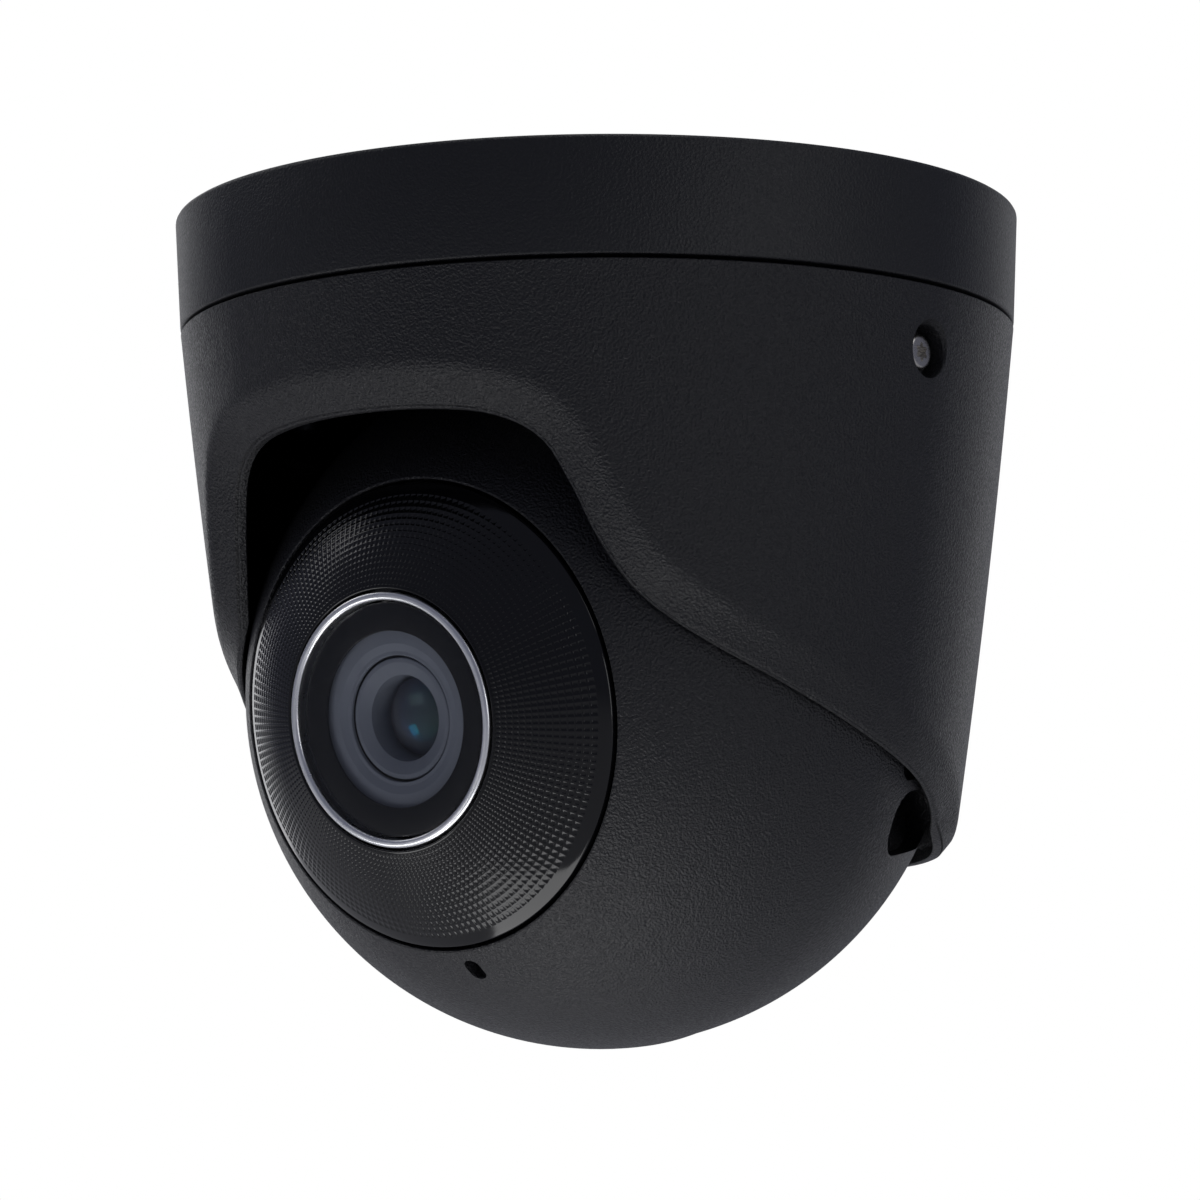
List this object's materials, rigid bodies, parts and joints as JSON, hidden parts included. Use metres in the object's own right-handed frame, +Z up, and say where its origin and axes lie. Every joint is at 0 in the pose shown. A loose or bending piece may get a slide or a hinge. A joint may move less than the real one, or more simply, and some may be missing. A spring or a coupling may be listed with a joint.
{
  "type": "turret security camera",
  "caption": "Ceiling-mounted turret security camera: a round base, a tapered shroud with a swept opening, and a tilting ball with a dimpled lens bezel.",
  "frame": {"origin": "centre of the base's flat ceiling face", "axes": "+Z up into the ceiling, which is the pan axis; the lens looks towards -Y and 8.8 degrees down; +X is parallel to the tilt axis"},
  "size_m": [0.111, 0.111, 0.1087],
  "materials": {
    "painted_casting": "near-black textured powder coat on an aluminium casting",
    "textured_shell": "near-black moulded plastic with a fine spark-eroded texture",
    "gloss_bezel": "high-gloss black, moulded with rings of small dimples",
    "black_plastic": "plain black moulding",
    "grey_plastic": "satin grey moulding behind the window",
    "trim_chrome": "bright polished chrome",
    "window_glass": "clear flat window",
    "lens_glass": "coated lens glass",
    "cast_aluminium": "bead-blasted die casting",
    "bright_steel": "bright plated steel",
    "seal_rubber": "matt black elastomer",
    "acetal": "natural acetal",
    "circuit_board": "green solder mask over glass laminate",
    "chip_resin": "moulded chip resin",
    "thermal_silicone": "soft grey thermal pad"
  },
  "bodies": {
    "base": {"base_housing": "painted_casting", "ceiling_seal": "seal_rubber", "cable_gland": "seal_rubber", "base_board": "circuit_board", "network_socket": "bright_steel", "power_terminal": "black_plastic", "base_board_screw_1": "bright_steel", "base_board_screw_2": "bright_steel", "base_board_screw_3": "bright_steel", "pan_friction_washer": "acetal", "pan_retaining_ring": "cast_aluminium", "retaining_ring_screw_1": "bright_steel", "retaining_ring_screw_2": "bright_steel", "retaining_ring_screw_3": "bright_steel", "retaining_ring_screw_4": "bright_steel"},
    "turret": {"shroud": "textured_shell", "pan_yoke": "cast_aluminium", "side_screw_right": "bright_steel", "side_screw_left": "bright_steel", "tilt_washer_right": "acetal", "tilt_washer_left": "acetal"},
    "ball": {"front_shell": "textured_shell", "rear_shell": "textured_shell", "shell_seal": "seal_rubber", "bezel": "gloss_bezel", "bezel_seal": "seal_rubber", "trim_ring": "trim_chrome", "window_glass": "window_glass", "window_mask": "gloss_bezel", "lens_surround": "grey_plastic", "lens_barrel": "grey_plastic", "lens_front_element": "lens_glass", "lens_rear_element": "lens_glass", "lens_holder": "black_plastic", "image_sensor": "chip_resin", "sensor_board": "circuit_board", "led_board": "circuit_board", "infrared_led_1": "chip_resin", "infrared_led_2": "chip_resin", "infrared_led_3": "chip_resin", "infrared_led_4": "chip_resin", "chassis": "black_plastic", "heat_spreader": "cast_aluminium", "thermal_pad": "thermal_silicone", "main_board": "circuit_board", "main_processor": "chip_resin", "memory_card_socket": "bright_steel", "microphone": "bright_steel", "microphone_boot": "seal_rubber", "rear_cable_gland": "seal_rubber", "tilt_pivot_right": "bright_steel", "tilt_pivot_left": "bright_steel", "shell_screw_1": "bright_steel", "shell_screw_2": "bright_steel", "shell_screw_3": "bright_steel", "shell_screw_4": "bright_steel", "core_screw_1": "bright_steel", "core_screw_2": "bright_steel", "core_screw_3": "bright_steel", "core_screw_4": "bright_steel"}
  },
  "joints": [
    {"name": "pan", "type": "hinge", "parent": "base", "child": "turret", "pos_m": [0, 0, -0.02], "axis": [0, 0, 1], "range_deg": [-177, 177]},
    {"name": "tilt", "type": "hinge", "parent": "turret", "child": "ball", "pos_m": [0, 0, -0.06243], "axis": [1, 0, 0], "range_deg": [-8.8, 81.2]}
  ]
}
